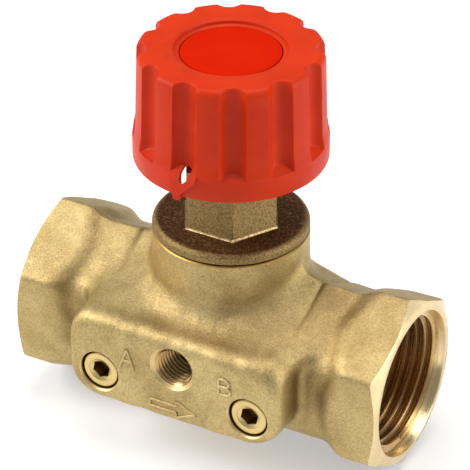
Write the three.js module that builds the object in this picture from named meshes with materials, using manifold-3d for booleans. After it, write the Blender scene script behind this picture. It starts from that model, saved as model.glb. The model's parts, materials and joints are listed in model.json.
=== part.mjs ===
// Straight shut-off and measuring valve with a fluted hand knob, in millimetres.
// +X is the direction of flow, +Z runs up the spindle, and the origin is where the pipe axis
// meets the spindle axis. The boss with its tapping and two screw plugs faces -Y.
// The model rests fully open: the cone stands LIFT above the seat.
import * as THREE from "three";
import { mergeVertices } from "three/addons/utils/BufferGeometryUtils.js";
import Module from "manifold-3d";

const wasm = await Module();
wasm.setup();

// ---- Driving dimensions ----
const HALF_LENGTH = 37.5; // 75 mm from face to face
const COLLAR_FLATS = 30.9; // across the flats of each hexagon collar
const SOCKET = { minor: 12.06, counterbore: 13.57, counterboreDepth: 1.8, depth: 16.3 }; // Rp 3/4
const WAIST = { flats: 28, halfLength: 28 }; // the hexagon between the collars
const GALLERY_RADIUS = 10.4;
const WEB = { top: 1.4, bottom: -1.2, end: 13.2 }; // the wall that carries the seat
const NECK_RADIUS = 14.4;
const NECK_TOP = 22.75;
const NECK_BORE = 11.2;
const SEAL_SEAT = { radius: 12.9, depth: 1.75 }; // step at the neck's mouth for the bonnet's ring
const SEAT = { hole: 8, rim: 9.6, top: 2 };
const LIFT = 4.8;
const SEAT_CLEARANCE = 0.05; // left between washer and seat when the valve is closed

const BOSS = {
  face: -22.2,
  halfWidth: 21.6,
  bottom: -7,
  top: 10.4,
  lowRadius: 6,
  highRadius: 4.2,
  round: 0.8,
};
const TAPPING = { z: 4.2, minor: 3.28, spotFace: 4.56, depth: 8 }; // G 1/16
const PLUG = { x: 15.4, z: -1.42, radius: 3.75, hole: 3.95, recess: 0.45, socketFlats: 3.1 };
const PLUG_TIP = { bottom: 15, pin: 1.2, land: 3.4, landBottom: 16.4 };
const PLUG_GROOVE = { radius: 2.5, bottom: 17.6, top: 19 }; // its seal sits here
const IMPULSE_WAY = { inner: 8, radius: 1.5, end: 13.4, seatEnd: 14.6, cross: 0.9, crossAt: -16.4 };

const FLANGE = { bottom: 23, top: 25, round: 1.2 };
const BONNET_FLATS = 16.16;
const BONNET_TOP = 37;
const GLAND_NUT = { flats: 13, bottom: 33.2, top: 39.8 };
const SPIGOT = { radius: 10.9, bottom: 12, chamber: 7, chamberTop: 17.5 };
const SPINDLE_BORE = 4.15;
const GLAND_RECESS = { radius: 6.1, bottom: 28 };
const SPINDLE_SEAL = { radius: 4.98, tube: 0.98, lower: 29.2, upper: 32.1 };

const SPINDLE = { bottom: 11.7, foot: 3.2, stem: 3.8, stemTop: 44.8 };
const SPINDLE_THREAD = { radius: 3.9, bottom: 17.9, top: 27.6 };
const SPINDLE_NECK = { foot: 3, top: 17 }; // the plain part between the clip's groove and the thread
const CLIP_GROOVE = { radius: 2.2, bottom: 13, top: 14.6 };
const DRIVE = { flats: 6, bottom: 44, top: 53, screwHole: 1.7, screwBottom: 46 };
const CARRIER = { radius: 10.1, bottom: 7.6, plate: 9, rimTop: 11.2, hub: 5.6, hubBottom: 12, hubTop: 15.4 };
const CARRIER_BORE = { screw: 1.7, foot: 3.4, floor: 11.5, groove: 4, grooveBottom: 13.2, grooveTop: 14.4 };
const CONE = { bore: 1.8, bottom: 4.4, head: 3.5, low: 2.2, lowRadius: 5.4, radius: 7.5, shoulder: 5.6 };

const KNOB = { bottom: 38.1, top: 59.5, rimRadius: 16.8, landRadius: 17.5, skirtRadius: 17.71, skirtTop: 42.4 };
const KNOB_HOLLOW = { mouth: 16.4, skirt: 16.3, skirtTop: 41.4, throat: 14.4, throatTop: 42.8, end: 13.6 };
const FLUTE = { count: 12, radius: 2.45, outset: 0.6, bottom: 42.4, slope: 33 };
const CAP = { radius: 9.05, bottom: 57.2, top: 58.65, countersink: 10.07 };
const HUB = { radius: 5.4, bottom: 45.6 };
const RIB = { reach: 14.2, half: 0.6, bottom: 50 };
const KNOB_CEILING = 55.4;
const KNOB_SCREW = { radius: 1.5, bottom: 47, head: 3.4, headBottom: 55.6, headTop: 57 };
const KNOB_SCREW_HOLE = { radius: 1.8, recess: 4.1 };
const SOCKET_KEY = 2.5; // across the flats of the key for the small screws

const FINE = 48; // sides of the large round faces
const MEDIUM = 32;
const SMALL = 20;

// ---- Materials ----
const finish = (color, roughness, metalness) =>
  new THREE.MeshStandardMaterial({ color, roughness, metalness });
const forgedBrass = finish(0xc2a467, 0.5, 1);
const darkBrass = finish(0x8c7446, 0.5, 1);
const turnedBrass = finish(0xe8cf8a, 0.28, 1);
const steel = finish(0xa9abad, 0.35, 1);
const redPlastic = finish(0xd23420, 0.42, 0);
const brightRed = finish(0xe62a08, 0.35, 0);
const rubber = finish(0x16171a, 0.8, 0);
const ptfe = finish(0xe9e7df, 0.5, 0);

// ---- Solids ----
function solidOf(geometry) {
  const bare = new THREE.BufferGeometry();
  bare.setAttribute("position", geometry.getAttribute("position"));
  bare.setIndex(geometry.index);
  const merged = mergeVertices(bare, 1e-4);
  return new wasm.Manifold(
    new wasm.Mesh({
      numProp: 3,
      vertProperties: merged.attributes.position.array,
      triVerts: new Uint32Array(merged.index.array),
    }),
  );
}

function geometryOf(solid) {
  const mesh = solid.getMesh();
  const geometry = new THREE.BufferGeometry();
  geometry.setAttribute("position", new THREE.BufferAttribute(mesh.vertProperties, mesh.numProp));
  geometry.setIndex(new THREE.BufferAttribute(mesh.triVerts, 1));
  const faceted = geometry.toNonIndexed();
  faceted.computeVertexNormals();
  return faceted;
}

const join = (...solids) => solids.reduce((sum, solid) => sum.add(solid));
const cut = (solid, ...tools) => tools.reduce((rest, tool) => rest.subtract(tool), solid);

// Twice the area that a closed outline encloses, positive when it runs anticlockwise.
function windingOf(points) {
  return points.reduce((sum, [a, b], i) => {
    const [c, d] = points[(i + 1) % points.length];
    return sum + a * d - b * c;
  }, 0);
}

// A solid turned about Z from [radius, height] points. A profile that touches the axis starts and
// ends on it, and any other closes on itself.
function turned(profile, sides = MEDIUM) {
  const ordered = windingOf(profile) > 0 ? profile : [...profile].reverse();
  const onAxis = ordered.some(([r]) => r === 0);
  let points = ordered;
  if (onAxis) {
    const start = ordered.findIndex(([r], i) => r === 0 && ordered.at(i - 1)[0] === 0);
    points = [...ordered.slice(start), ...ordered.slice(0, start)];
  } else {
    points = [...ordered, ordered[0]];
  }
  const lathe = new THREE.LatheGeometry(points.map(([r, z]) => new THREE.Vector2(r, z)), sides);
  return solidOf(lathe.rotateX(Math.PI / 2));
}

const disc = (radius, low, high, sides) =>
  turned([[0, low], [radius, low], [radius, high], [0, high]], sides);
const ring = (inner, outer, low, high, sides) =>
  turned([[inner, low], [outer, low], [outer, high], [inner, high]], sides);

function torus(radius, tube, z) {
  const geometry = new THREE.TorusGeometry(radius, tube, 8, 24);
  return solidOf(geometry.translate(0, 0, z));
}

// A hexagonal prism about Z. A corner points along +Y, or along +X when it is turned by 30 degrees.
function hexagon(flats, low, high, turnedBy = 0) {
  const geometry = new THREE.CylinderGeometry(flats / Math.sqrt(3), flats / Math.sqrt(3), high - low, 6);
  geometry.rotateX(Math.PI / 2).rotateZ(turnedBy).translate(0, 0, (low + high) / 2);
  return solidOf(geometry);
}

function block(low, high) {
  const size = high.map((value, i) => value - low[i]);
  const centre = high.map((value, i) => (value + low[i]) / 2);
  return solidOf(new THREE.BoxGeometry(...size).translate(...centre));
}

// A round bar between two points.
function bar(from, to, radius, sides = 12) {
  const start = new THREE.Vector3(...from);
  const along = new THREE.Vector3(...to).sub(start);
  const geometry = new THREE.CylinderGeometry(radius, radius, along.length(), sides);
  const turn = new THREE.Quaternion().setFromUnitVectors(
    new THREE.Vector3(0, 1, 0),
    along.clone().normalize(),
  );
  geometry.applyQuaternion(turn).translate(...start.addScaledVector(along, 0.5).toArray());
  return solidOf(geometry);
}

const alongX = (solid) => solid.rotate([0, 90, 0]); // Z becomes X
const towardsFront = (solid) => solid.rotate([90, 0, 0]); // Z becomes -Y
const turnedRound = (solid) => solid.rotate([0, 0, 180]);

// ---- Valve body ----
function hexCollar() {
  const flat = COLLAR_FLATS / 2;
  const corner = flat * 2 / Math.sqrt(3);
  const envelope = turned(
    [
      [0, 24],
      [flat - 3.3, 24],
      [flat, 27.3],
      [corner + 0.3, 30],
      [corner + 0.3, 35.95],
      [flat, 37.2],
      [14.8, HALF_LENGTH],
      [0, HALF_LENGTH],
    ],
    FINE,
  );
  const prism = hexagon(COLLAR_FLATS, 23, HALF_LENGTH + 1, Math.PI / 2);
  return alongX(envelope.intersect(prism));
}

function bossOutline(inset) {
  const { halfWidth, bottom, top, lowRadius, highRadius } = BOSS;
  const x = halfWidth - inset;
  const low = bottom + inset;
  const high = top - inset;
  const shape = new THREE.Shape();
  shape.absarc(x - lowRadius, low + lowRadius, lowRadius, -Math.PI / 2, 0);
  shape.absarc(x - highRadius, high - highRadius, highRadius, 0, Math.PI / 2);
  shape.absarc(-x + highRadius, high - highRadius, highRadius, Math.PI / 2, Math.PI);
  shape.absarc(-x + lowRadius, low + lowRadius, lowRadius, Math.PI, Math.PI * 1.5);
  return shape;
}

function boss() {
  const depth = -BOSS.face - BOSS.round;
  const geometry = new THREE.ExtrudeGeometry(bossOutline(BOSS.round), {
    depth,
    curveSegments: 6,
    bevelThickness: BOSS.round,
    bevelSize: BOSS.round,
    bevelSegments: 2,
  });
  return towardsFront(solidOf(geometry));
}

function socketBore() {
  const { minor, counterbore, counterboreDepth, depth } = SOCKET;
  const mouth = HALF_LENGTH - counterboreDepth;
  return alongX(
    turned(
      [
        [0, HALF_LENGTH - depth],
        [minor, HALF_LENGTH - depth],
        [minor, mouth - 1],
        [counterbore, mouth],
        [counterbore, HALF_LENGTH + 1],
        [0, HALF_LENGTH + 1],
      ],
      FINE,
    ),
  );
}

// The inlet gallery runs under the seat web and the outlet gallery over it.
function galleries() {
  const reach = GALLERY_RADIUS + 1;
  const socketEnd = HALF_LENGTH - SOCKET.depth + 0.1;
  const full = alongX(disc(GALLERY_RADIUS, -socketEnd, socketEnd, MEDIUM));
  const inlet = join(
    block([-reach * 2, -reach, -reach], [-WEB.end, reach, reach]),
    block([-WEB.end - 0.1, -reach, -reach], [GALLERY_RADIUS, reach, WEB.bottom]),
  );
  const outlet = join(
    block([WEB.end, -reach, -reach], [reach * 2, reach, reach]),
    block([-GALLERY_RADIUS, -reach, WEB.top], [WEB.end + 0.1, reach, reach]),
  );
  const neck = disc(NECK_BORE, WEB.top, NECK_TOP + 1, MEDIUM);
  const sealSeat = disc(SEAL_SEAT.radius, NECK_TOP - SEAL_SEAT.depth, NECK_TOP + 1, MEDIUM);
  return join(full.intersect(join(inlet, outlet)), neck, sealSeat);
}

// The two plug holes reach the water on either side of the seat, and a cross bore joins them to the tapping.
function bossHoles() {
  const front = -BOSS.face;
  const { inner, radius, end, seatEnd, cross, crossAt } = IMPULSE_WAY;
  const plugHole = turned(
    [
      [0, inner],
      [radius, inner],
      [radius, end],
      [PLUG.hole, seatEnd],
      [PLUG.hole, front + 1],
      [0, front + 1],
    ],
    SMALL,
  );
  const tapping = turned(
    [
      [0, front - TAPPING.depth - 1.5],
      [TAPPING.minor, front - TAPPING.depth],
      [TAPPING.minor, front - 1],
      [TAPPING.spotFace - 0.3, front - 0.5],
      [TAPPING.spotFace, front + 1],
      [0, front + 1],
    ],
    SMALL,
  );
  const centre = [0, crossAt, TAPPING.z];
  return [
    ...[-1, 1].flatMap((side) => [
      towardsFront(plugHole).translate([side * PLUG.x, 0, PLUG.z]),
      bar([side * PLUG.x, crossAt, PLUG.z], centre, cross),
    ]),
    towardsFront(tapping).translate([0, 0, TAPPING.z]),
  ];
}

function valveBody() {
  const collar = hexCollar();
  const outside = join(
    collar,
    turnedRound(collar),
    alongX(hexagon(WAIST.flats, -WAIST.halfLength, WAIST.halfLength, Math.PI / 2)),
    disc(NECK_RADIUS, 0, NECK_TOP, FINE),
    boss(),
  );
  const bore = socketBore();
  const hollow = cut(outside, bore, turnedRound(bore), galleries(), ...bossHoles());
  const seatRing = disc(SEAT.rim, 1, SEAT.top, MEDIUM);
  return cut(join(hollow, seatRing), disc(SEAT.hole, WEB.bottom - 2, SEAT.top + 1, MEDIUM));
}

// ---- Bonnet and spindle seals ----
function bonnet() {
  const { bottom, top, round } = FLANGE;
  const flange = turned(
    [
      [SPINDLE_BORE, SPIGOT.chamberTop],
      [SPIGOT.chamber, SPIGOT.chamberTop],
      [SPIGOT.chamber, SPIGOT.bottom],
      [SPIGOT.radius, SPIGOT.bottom],
      [SPIGOT.radius, bottom],
      [NECK_RADIUS, bottom],
      [NECK_RADIUS, top - round],
      [NECK_RADIUS - round * 0.3, top - round * 0.3],
      [NECK_RADIUS - round, top],
      [SPINDLE_BORE, top],
    ],
    FINE,
  );
  const crown = turned(
    [[0, top - 1], [12, top - 1], [12, BONNET_TOP - 2], [BONNET_FLATS / 2, BONNET_TOP], [0, BONNET_TOP]],
    MEDIUM,
  ).intersect(hexagon(BONNET_FLATS, top - 1, BONNET_TOP, Math.PI / 6));
  const bore = disc(SPINDLE_BORE, top - 2, BONNET_TOP + 1);
  const recess = disc(GLAND_RECESS.radius, GLAND_RECESS.bottom, BONNET_TOP + 1);
  return cut(join(flange, crown), bore, recess);
}

function glandNut() {
  const { flats, bottom, top } = GLAND_NUT;
  const body = disc(GLAND_RECESS.radius - 0.2, bottom, BONNET_TOP + 1);
  const head = hexagon(flats, BONNET_TOP + 0.2, top, Math.PI / 6);
  return cut(join(body, head), disc(SPINDLE_BORE, bottom - 1, top + 1));
}

const spindleSeal = (z) => torus(SPINDLE_SEAL.radius, SPINDLE_SEAL.tube, z);

// ---- Spindle and cone ----
function spindle() {
  const { bottom, foot, stem, stemTop } = SPINDLE;
  const thread = SPINDLE_THREAD;
  const shaft = turned(
    [
      [0, bottom],
      [foot, bottom],
      [foot, CLIP_GROOVE.bottom],
      [CLIP_GROOVE.radius, CLIP_GROOVE.bottom],
      [CLIP_GROOVE.radius, CLIP_GROOVE.top],
      [SPINDLE_NECK.foot, CLIP_GROOVE.top],
      [SPINDLE_NECK.foot, SPINDLE_NECK.top],
      [thread.radius, thread.bottom],
      [thread.radius, thread.top],
      [stem, thread.top + 0.4],
      [stem, stemTop],
      [0, stemTop],
    ],
    MEDIUM,
  );
  const drive = hexagon(DRIVE.flats, DRIVE.bottom, DRIVE.top);
  return cut(join(shaft, drive), disc(DRIVE.screwHole, DRIVE.screwBottom, DRIVE.top + 1, SMALL));
}

function coneCarrier() {
  const { radius, bottom, plate, rimTop, hub, hubBottom, hubTop } = CARRIER;
  const { screw, foot, floor, groove, grooveBottom, grooveTop } = CARRIER_BORE;
  return turned([
    [screw, plate],
    [radius - 0.5, plate],
    [radius - 0.5, bottom],
    [radius, bottom],
    [radius, rimTop],
    [hub, hubBottom],
    [hub, hubTop],
    [foot, hubTop],
    [foot, grooveTop],
    [groove, grooveTop],
    [groove, grooveBottom],
    [foot, grooveBottom],
    [foot, floor],
    [screw, floor],
  ]);
}

function spindleClip() {
  const whole = ring(2.4, 3.8, 13.4, 14.2);
  return cut(whole, block([-1.3, -5, 13], [1.3, 0, 15]));
}

const washerBottom = SEAT.top + LIFT + SEAT_CLEARANCE;
const seatWasher = () => ring(3.9, CARRIER.radius - 0.7, washerBottom, CARRIER.plate - 0.2);

function throttleCone() {
  const { bore, bottom, head, low, lowRadius, radius, shoulder } = CONE;
  return turned([
    [bore, bottom],
    [head, bottom],
    [head, low],
    [lowRadius, low],
    [radius, shoulder],
    [radius, washerBottom - 0.15],
    [bore, washerBottom - 0.15],
  ]);
}

function coneScrew() {
  const screw = turned([[0, 2.4], [3.2, 2.4], [3.2, 4.2], [1.5, 4.2], [1.5, 10.8], [0, 10.8]], SMALL);
  return cut(screw, hexagon(SOCKET_KEY, 1, 3.6));
}

// ---- Knob ----
const taperPerHeight = (KNOB.landRadius - KNOB.rimRadius) / (KNOB.top - KNOB.bottom);
const knobRadiusAt = (z) => KNOB.rimRadius + taperPerHeight * (KNOB.top - z);

// The round-bottomed channel of one flute on the -Y side, closed below by a sloping floor.
function fluteTool() {
  const [low, high] = [FLUTE.bottom - 2, KNOB.top + 2];
  const channel = bar(
    [0, -knobRadiusAt(low) - FLUTE.outset, low],
    [0, -knobRadiusAt(high) - FLUTE.outset, high],
    FLUTE.radius,
    16,
  );
  const floor = block([-4, -6, -6], [4, 6, 0])
    .rotate([FLUTE.slope, 0, 0])
    .translate([0, -KNOB.skirtRadius, FLUTE.bottom]);
  return cut(channel, floor);
}

function knobShell() {
  const { bottom, top, skirtRadius, skirtTop } = KNOB;
  const hollow = KNOB_HOLLOW;
  return turned(
    [
      [0, top],
      [knobRadiusAt(top) - 0.8, top],
      [knobRadiusAt(top) - 0.25, top - 0.25],
      [knobRadiusAt(top), top - 0.9],
      [knobRadiusAt(skirtTop + 0.4), skirtTop + 0.4],
      [skirtRadius, skirtTop],
      [skirtRadius, bottom + 0.4],
      [skirtRadius - 0.4, bottom],
      [hollow.mouth, bottom],
      [hollow.skirt, hollow.skirtTop],
      [hollow.throat, hollow.throatTop],
      [hollow.end, KNOB_CEILING],
      [0, KNOB_CEILING],
    ],
    FINE,
  );
}

// The arrow-shaped pointer on the skirt and the eye through it for a sealing wire.
function pointer() {
  const { skirtRadius, bottom } = KNOB;
  const arrow = new THREE.Shape([
    new THREE.Vector2(-1.5, bottom - 0.5),
    new THREE.Vector2(-0.4, bottom - 0.5),
    new THREE.Vector2(-0.1, bottom + 0.8),
    new THREE.Vector2(2.6, bottom + 3.7),
    new THREE.Vector2(2.8, bottom + 4.3),
    new THREE.Vector2(-2.4, bottom + 4.3),
    new THREE.Vector2(-2.1, bottom + 1),
  ]);
  const geometry = new THREE.ExtrudeGeometry(arrow, { depth: 1.7, bevelEnabled: false });
  return towardsFront(solidOf(geometry.translate(0, 0, skirtRadius - 1.2)));
}

function sealingEye() {
  const eye = new THREE.Shape();
  eye.absarc(0.35, 42.55, 1.2, 0, Math.PI);
  eye.lineTo(-0.2, 40.95);
  eye.lineTo(0.6, 40.95);
  const geometry = new THREE.ExtrudeGeometry(eye, { depth: 8, curveSegments: 6, bevelEnabled: false });
  return towardsFront(solidOf(geometry.translate(0, 0, 13)));
}

function knob() {
  const crown = KNOB_CEILING + 0.6; // inside the shell's top
  const hub = disc(HUB.radius, HUB.bottom, crown);
  const rib = block([-RIB.reach, -RIB.half, RIB.bottom], [RIB.reach, RIB.half, crown]);
  const ribs = [0, 60, 120].map((turn) => rib.rotate([0, 0, turn]));
  const flutes = Array.from({ length: FLUTE.count }, (_, i) =>
    fluteTool().rotate([0, 0, (360 / FLUTE.count) * i]),
  );
  const capRecess = turned(
    [
      [0, CAP.bottom - 0.2],
      [CAP.radius + 0.2, CAP.bottom - 0.2],
      [CAP.radius + 0.2, CAP.top],
      [CAP.countersink, KNOB.top],
      [CAP.countersink, KNOB.top + 1],
      [0, KNOB.top + 1],
    ],
    FINE,
  );
  return cut(
    join(cut(knobShell(), ...flutes), pointer(), hub, ...ribs),
    sealingEye(),
    capRecess,
    hexagon(DRIVE.flats + 0.4, HUB.bottom - 1, DRIVE.top + 0.3),
    disc(KNOB_SCREW_HOLE.radius, DRIVE.top, CAP.bottom, SMALL),
    disc(KNOB_SCREW_HOLE.recess, KNOB_CEILING - 0.8, CAP.bottom),
  );
}

function knobCap() {
  const { radius, bottom, top } = CAP;
  return turned([[0, bottom], [radius, bottom], [radius, top - 0.2], [radius - 0.2, top], [0, top]], FINE);
}

const knobScrewWasher = () => ring(1.75, 3.7, 54.8, 55.4, SMALL);

function knobScrew() {
  const { radius, bottom, head, headBottom, headTop } = KNOB_SCREW;
  const screw = turned(
    [[0, bottom], [radius, bottom], [radius, headBottom], [head, headBottom], [head, headTop], [0, headTop]],
    SMALL,
  );
  return cut(screw, hexagon(SOCKET_KEY, headBottom + 0.4, headTop + 1));
}

// ---- Screw plugs of the boss ----
function screwPlug() {
  const face = -BOSS.face - PLUG.recess;
  const { bottom, pin, land, landBottom } = PLUG_TIP;
  const plug = turned(
    [
      [0, bottom],
      [pin, bottom],
      [land, landBottom],
      [land, PLUG_GROOVE.bottom],
      [PLUG_GROOVE.radius, PLUG_GROOVE.bottom],
      [PLUG_GROOVE.radius, PLUG_GROOVE.top],
      [PLUG.radius, PLUG_GROOVE.top],
      [PLUG.radius, face - 0.35],
      [PLUG.radius - 0.35, face],
      [0, face],
    ],
    SMALL,
  );
  return cut(plug, hexagon(PLUG.socketFlats, face - 2.2, face + 1));
}

function plugSeal() {
  return solidOf(new THREE.TorusGeometry(3.2, 0.5, 6, SMALL).translate(0, 0, 18.3));
}

// ---- Assembly ----
const valve = new THREE.Group();

function place(name, solid, material) {
  const mesh = new THREE.Mesh(geometryOf(solid), material);
  mesh.name = name;
  valve.add(mesh);
}

place("valve_body", valveBody(), forgedBrass);
place("bonnet", bonnet(), darkBrass);
place("bonnet_seal_ring", torus(SEAL_SEAT.radius - 0.95, 0.72, NECK_TOP - 0.9), rubber);
place("gland_nut", glandNut(), turnedBrass);
place("spindle_seal_lower", spindleSeal(SPINDLE_SEAL.lower), rubber);
place("seal_spacer", ring(4.2, 5.9, 30.35, 30.95), turnedBrass);
place("spindle_seal_upper", spindleSeal(SPINDLE_SEAL.upper), rubber);

place("cone_carrier", coneCarrier(), turnedBrass);
place("seat_washer", seatWasher(), ptfe);
place("throttle_cone", throttleCone(), turnedBrass);
place("cone_screw", coneScrew(), steel);
place("spindle_clip", spindleClip(), steel);

place("spindle", spindle(), turnedBrass);
place("knob", knob(), redPlastic);
place("knob_cap", knobCap(), brightRed);
place("knob_screw", knobScrew(), steel);
place("knob_screw_washer", knobScrewWasher(), steel);

for (const [name, side] of [["plug_a", -1], ["plug_b", 1]]) {
  const at = [side * PLUG.x, 0, PLUG.z];
  place(name, towardsFront(screwPlug()).translate(at), turnedBrass);
  place(name + "_seal", towardsFront(plugSeal()).translate(at), rubber);
}

export default valve;
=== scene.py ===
"""Looks of a forged brass shut-off valve with a fluted red hand knob.

Lengths are millimetres in the CAD frame, and become metres when a mesh is made. +X is the flow, +Z the
spindle, and the boss with the tapping and the two screw plugs faces -Y.
"""

import json
import math

import bmesh
import bpy
import numpy as np
from mathutils import Matrix, Vector


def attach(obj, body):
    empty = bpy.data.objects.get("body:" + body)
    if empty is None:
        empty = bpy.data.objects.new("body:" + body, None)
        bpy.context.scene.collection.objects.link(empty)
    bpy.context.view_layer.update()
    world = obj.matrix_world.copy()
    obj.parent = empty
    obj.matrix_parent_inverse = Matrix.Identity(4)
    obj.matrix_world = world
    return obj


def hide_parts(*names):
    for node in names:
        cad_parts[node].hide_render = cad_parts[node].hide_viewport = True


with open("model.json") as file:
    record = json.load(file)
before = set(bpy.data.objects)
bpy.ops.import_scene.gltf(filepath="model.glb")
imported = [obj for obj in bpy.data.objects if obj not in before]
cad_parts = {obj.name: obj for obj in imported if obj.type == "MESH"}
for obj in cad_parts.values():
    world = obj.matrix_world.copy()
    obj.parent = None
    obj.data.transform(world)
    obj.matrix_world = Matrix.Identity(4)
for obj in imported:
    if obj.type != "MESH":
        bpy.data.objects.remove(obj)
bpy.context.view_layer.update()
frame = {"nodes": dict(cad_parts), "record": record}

MM = 0.001

# ---- Driving dimensions, most of them those of the CAD model ----
HALF_LENGTH = 37.5
FORGED_END = 38.0  # half the length before the ends are faced
COLLAR_FLAT, COLLAR_CORNER = 15.45, 17.84  # from the axis to a flat and to a corner
SHOULDER = 27.3  # where a collar's flats meet its inner shoulder
WAIST_FLAT, WAIST_END = 14.0, 30.0
CREASE, CREASE_HEIGHT, CREASE_WIDTH = 18.8, 0.3, 0.45  # the crease where the waist starts to swell
SWELL_SLOPE, SWELL_LOW = 0.24, 2.0  # how steeply the waist swells, and from what height
NECK_RADIUS, NECK_TOP, NECK_BORE = 14.4, 22.75, 11.2
NECK_MIDDLE, NECK_HALF = 11.0, 12.6  # middle and half of the neck's height before it is faced
GALLERY_RADIUS = 10.4
WEB_LOW, WEB_TOP, WEB_END = -1.2, 1.4, 13.2
SEAT_HOLE, SEAT_RIM, SEAT_TOP = 8.0, 9.6, 2.0
SEAT_MIDDLE, SEAT_HALF = 0.8, 1.2  # middle and half of the height of the seat's ring
SEAL_SEAT, SEAL_DEPTH = 12.9, 1.75  # the step in the neck for the bonnet's ring
WAIST_BLEND, NECK_BLEND, BOSS_BLEND = 1.2, 2.6, 1.8  # fillets of the forging
UNEVENNESS = 0.08
SIN_60, COS_60 = math.sin(math.pi / 3), 0.5
SOCKET = {"minor": 12.06, "major": 13.22, "pitch": 1.814, "mouth": 13.57, "step": 1.8, "depth": 16.3}
TAPPING = {"minor": 3.28, "major": 3.86, "pitch": 0.907, "mouth": 4.56, "depth": 8.0, "z": 4.2}
TAPPING_CENTRE = (0, 0, TAPPING["z"])
BOSS = {"face": -22.2, "half": 21.6, "low": -7.1, "top": 10.1, "low_round": 6.0, "top_round": 4.0}
BOSS_SLOPE = 0.08  # rise of the boss's top towards the neck
PLUG = {"x": 15.4, "z": -1.42, "hole": 3.95, "radius": 3.66, "recess": 0.5, "socket": 1.62}
MARK_WIDTH, MARK_HEIGHT = 0.52, 0.26  # of the raised letters and the arrow
FLANGE_LOW, FLANGE_TOP, FLANGE_ROUND = 23.0, 25.0, 1.25
BONNET_FLAT, BONNET_TOP = 8.08, 37.0
STEM_HOLE, GLAND_HOLE = 4.15, 6.1  # radii of the bonnet's bores
KNOB = {"low": 38.1, "top": 59.6, "rim": 16.75, "land": 17.3, "skirt": 17.66, "ceiling": 55.4}
SKIRT_TOP, SKIRT_BLEND, RIM_ROUND, NOTCH_ROUND = 42.3, 3.0, 1.3, 0.45
FLUTES, FLUTE_RADIUS, FLUTE_OUTSET, FLUTE_SLOPE = 12, 2.45, 0.6, math.radians(33)
FLUTE_COLUMNS = 44  # columns of points in each flute
EYE_OUT, EYE_SLOPE = 17.4, (0.36, 0.72)  # distance out of its outline, and its slopes left and down
HUB = {"bore": 3.7, "radius": 5.4, "low": 45.6, "top": 55.8}
CAP = {"radius": 9.05, "low": 57.2, "top": 58.65, "countersink": 10.07}

# One turn of a thread, as shares of its pitch and of its depth
THREAD_FORM = [(0.0, 0.0), (0.1, 0.0), (0.42, 0.9), (0.5, 1.0), (0.6, 1.0), (0.68, 0.9)]

# ---- Camera and stage ----
AZIMUTH, ELEVATION, DISTANCE = 28.71, 32.45, 544.27
LENS, SENSOR = 224.15, 36
TARGET = (-3.83, 8.45, 14.55)
FLOOR_REACH, FLOOR_GLOW = 3000.0, 0.42


# ---- Mesh helpers ----
def mesh_object(name, points, faces, material, smooth_angle=30.0, outward=True):
    """An object from points in millimetres. Faces that meet at less than smooth_angle shade smooth."""
    mesh = bpy.data.meshes.new(name)
    mesh.from_pydata((np.asarray(points, float) * MM).tolist(), [], faces)
    mesh.materials.append(material)
    if outward:
        work = bmesh.new()
        work.from_mesh(mesh)
        bmesh.ops.recalc_face_normals(work, faces=work.faces)
        work.to_mesh(mesh)
        work.free()
    obj = bpy.data.objects.new(name, mesh)
    bpy.context.scene.collection.objects.link(obj)
    shade(obj, smooth_angle)
    return obj


def shade(obj, angle):
    """Smooth shading, except over edges sharper than angle in degrees."""
    obj.data.shade_smooth()
    obj.data.set_sharp_from_angle(angle=math.radians(angle))


def boolean(target, tool, operation="DIFFERENCE"):
    """Cuts or joins target with tool for good. The new faces keep the tool's material."""
    step = target.modifiers.new("step", "BOOLEAN")
    step.operation = operation
    step.solver = "MANIFOLD"
    step.object = tool
    step.material_mode = "TRANSFER"
    graph = bpy.context.evaluated_depsgraph_get()
    result = bpy.data.meshes.new_from_object(target.evaluated_get(graph), depsgraph=graph)
    target.modifiers.clear()
    target.data = result
    bpy.data.objects.remove(tool)


def placed(points, along="Z", centre=(0, 0, 0)):
    """Points about Z, turned so that their +Z runs along X, -X or -Y, then moved to centre."""
    x, y, z = np.asarray(points, float).T
    turned_to = {"Z": (x, y, z), "X": (z, y, -x), "-X": (-z, y, x), "-Y": (x, -z, y)}
    return np.stack(turned_to[along], -1) + np.asarray(centre, float)


def lathe(name, profile, material, sides=128, angle=30.0, along="Z", centre=(0, 0, 0)):
    """A solid turned from [radius, height] points.

    A profile that starts and ends on the axis is closed there, and any other closes on itself.
    """
    on_axis = profile[0][0] == 0 and profile[-1][0] == 0
    rows = profile[1:-1] if on_axis else profile
    turns = np.arange(sides) * 2 * math.pi / sides
    points = [(r * math.cos(t), r * math.sin(t), z) for r, z in rows for t in turns]
    bands = [(k, k + 1) for k in range(len(rows) - 1)]
    if not on_axis:
        bands.append((len(rows) - 1, 0))
    around = [(i, (i + 1) % sides) for i in range(sides)]
    faces = [
        (a * sides + i, a * sides + j, b * sides + j, b * sides + i)
        for a, b in bands
        for i, j in around
    ]
    if on_axis:
        faces.append([i for i, _ in around])
        faces.append([(len(rows) - 1) * sides + i for i, _ in around])
    return mesh_object(name, placed(points, along, centre), faces, material, angle)


def loft(name, sections, material, along="Z", centre=(0, 0, 0)):
    """A solid through sections, each a height and an outline of [x, y] points, all of one length."""
    n = len(sections[0][1])
    points = [(x, y, height) for height, outline in sections for x, y in outline]
    last = (len(sections) - 1) * n
    faces = [list(range(n)), list(range(last, last + n))]
    for start in range(0, last, n):
        for i in range(n):
            j = (i + 1) % n
            faces.append((start + i, start + j, start + n + j, start + n + i))
    return mesh_object(name, placed(points, along, centre), faces, material)


def prism(name, outline, low, high, material, along="Z", centre=(0, 0, 0)):
    """A straight solid of one outline between two heights."""
    return loft(name, [(low, outline), (high, outline)], material, along, centre)


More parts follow.
